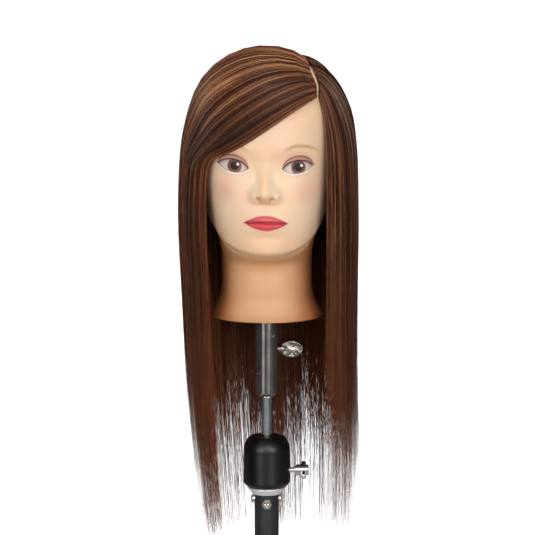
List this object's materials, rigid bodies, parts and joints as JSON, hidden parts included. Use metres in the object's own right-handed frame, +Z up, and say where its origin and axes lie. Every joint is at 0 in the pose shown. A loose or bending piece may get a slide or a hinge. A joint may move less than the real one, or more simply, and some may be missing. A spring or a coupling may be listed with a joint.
{
  "type": "mannequin training head",
  "caption": "Hairdresser's training head with long straight hair, on a ball-jointed holder post with a sliding sleeve and lock screws.",
  "frame": {"origin": "open lower end of the holder post, on its axis", "axes": "+Z up along the post, face towards -Y, +X on the viewer's right"},
  "size_m": [0.1873, 0.2078, 0.52],
  "materials": {
    "black_post": "matte black powder coat",
    "housing_black": "satin black",
    "plate_silver": "satin, silver white",
    "insert_aluminium": "turned",
    "fastener_nickel": "warm nickel plate",
    "inner_steel": "plain steel",
    "lock_nickel": "bright nickel plate",
    "pad_brass": "plain brass",
    "seat_nylon": "natural nylon",
    "ball_steel": "polished steel",
    "rod_steel": "drawn steel, blue grey",
    "sleeve_chrome": "chrome plate",
    "spigot_steel": "turned steel",
    "bush_nylon": "black nylon",
    "disc_board": "moulded board",
    "core_foam": "rigid foam",
    "skin_vinyl": "soft vinyl, painted face",
    "hair_brown": "straight dark brown hair"
  },
  "bodies": {
    "post": {"post_tube": "black_post", "post_insert": "insert_aluminium", "base_plate": "plate_silver", "plate_bolt": "inner_steel", "front_screw": "fastener_nickel", "side_screws": "fastener_nickel", "housing": "housing_black", "wedge_block": "inner_steel", "disc_springs": "inner_steel"},
    "lock_pad": {"lock_pad": "pad_brass"},
    "lock_screw": {"lock_screw": "lock_nickel", "lock_bar": "lock_nickel"},
    "ball_seat": {"ball_seat": "seat_nylon"},
    "rod": {"ball": "ball_steel", "rod": "rod_steel", "guide_pin": "ball_steel"},
    "sleeve": {"sleeve": "sleeve_chrome", "sleeve_bush": "pad_brass", "spigot": "spigot_steel", "spigot_screw": "inner_steel", "bush_screw": "inner_steel"},
    "wing_pad": {"wing_pad": "pad_brass"},
    "wing_screw": {"wing_screw": "sleeve_chrome"},
    "swivel_bush": {"swivel_bush": "bush_nylon"},
    "head": {"neck_socket": "bush_nylon", "neck_disc": "disc_board", "disc_screws": "inner_steel", "foam_core": "core_foam", "vinyl_skin": "skin_vinyl", "hair_crown": "hair_brown", "hair_fringe": "hair_brown", "hair_part_side": "hair_brown", "hair_left": "hair_brown", "hair_right": "hair_brown", "hair_back_left": "hair_brown", "hair_back_right": "hair_brown"}
  },
  "joints": [
    {"name": "lock_pad_slide", "type": "slide", "parent": "post", "child": "lock_pad", "axis": [1, 0, 0], "range_m": [0, 0.00125]},
    {"name": "lock_screw_turn", "type": "hinge", "parent": "lock_pad", "child": "lock_screw", "pos_m": [0.03, 0, 0.09], "axis": [1, 0, 0], "range_deg": [0, 540]},
    {"name": "ball_pan", "type": "hinge", "parent": "post", "child": "ball_seat", "pos_m": [0, 0, 0.113], "axis": [0, 0, 1], "continuous": true},
    {"name": "ball_tilt", "type": "hinge", "parent": "ball_seat", "child": "rod", "pos_m": [0, 0, 0.113], "axis": [1, 0, 0], "range_deg": [-20, 20]},
    {"name": "sleeve_height", "type": "slide", "parent": "rod", "child": "sleeve", "axis": [0, 0, 1], "range_m": [-0.014, 0]},
    {"name": "wing_pad_slide", "type": "slide", "parent": "sleeve", "child": "wing_pad", "axis": [1, 0, 0], "range_m": [0, 0.00155]},
    {"name": "wing_screw_turn", "type": "hinge", "parent": "wing_pad", "child": "wing_screw", "pos_m": [0.02, 0, 0.2135], "axis": [1, 0, 0], "range_deg": [0, 540]},
    {"name": "head_turn", "type": "hinge", "parent": "sleeve", "child": "swivel_bush", "pos_m": [0, 0, 0.25], "axis": [0, 0, 1], "continuous": true},
    {"name": "head_lift", "type": "slide", "parent": "swivel_bush", "child": "head", "axis": [0, 0, 1], "range_m": [0, 0.065]}
  ],
  "couplings": [
    {"joint": "lock_pad_slide", "follows": "lock_screw_turn", "m_per_rad": 0.00012732},
    {"joint": "wing_pad_slide", "follows": "wing_screw_turn", "m_per_rad": 0.00015915}
  ]
}
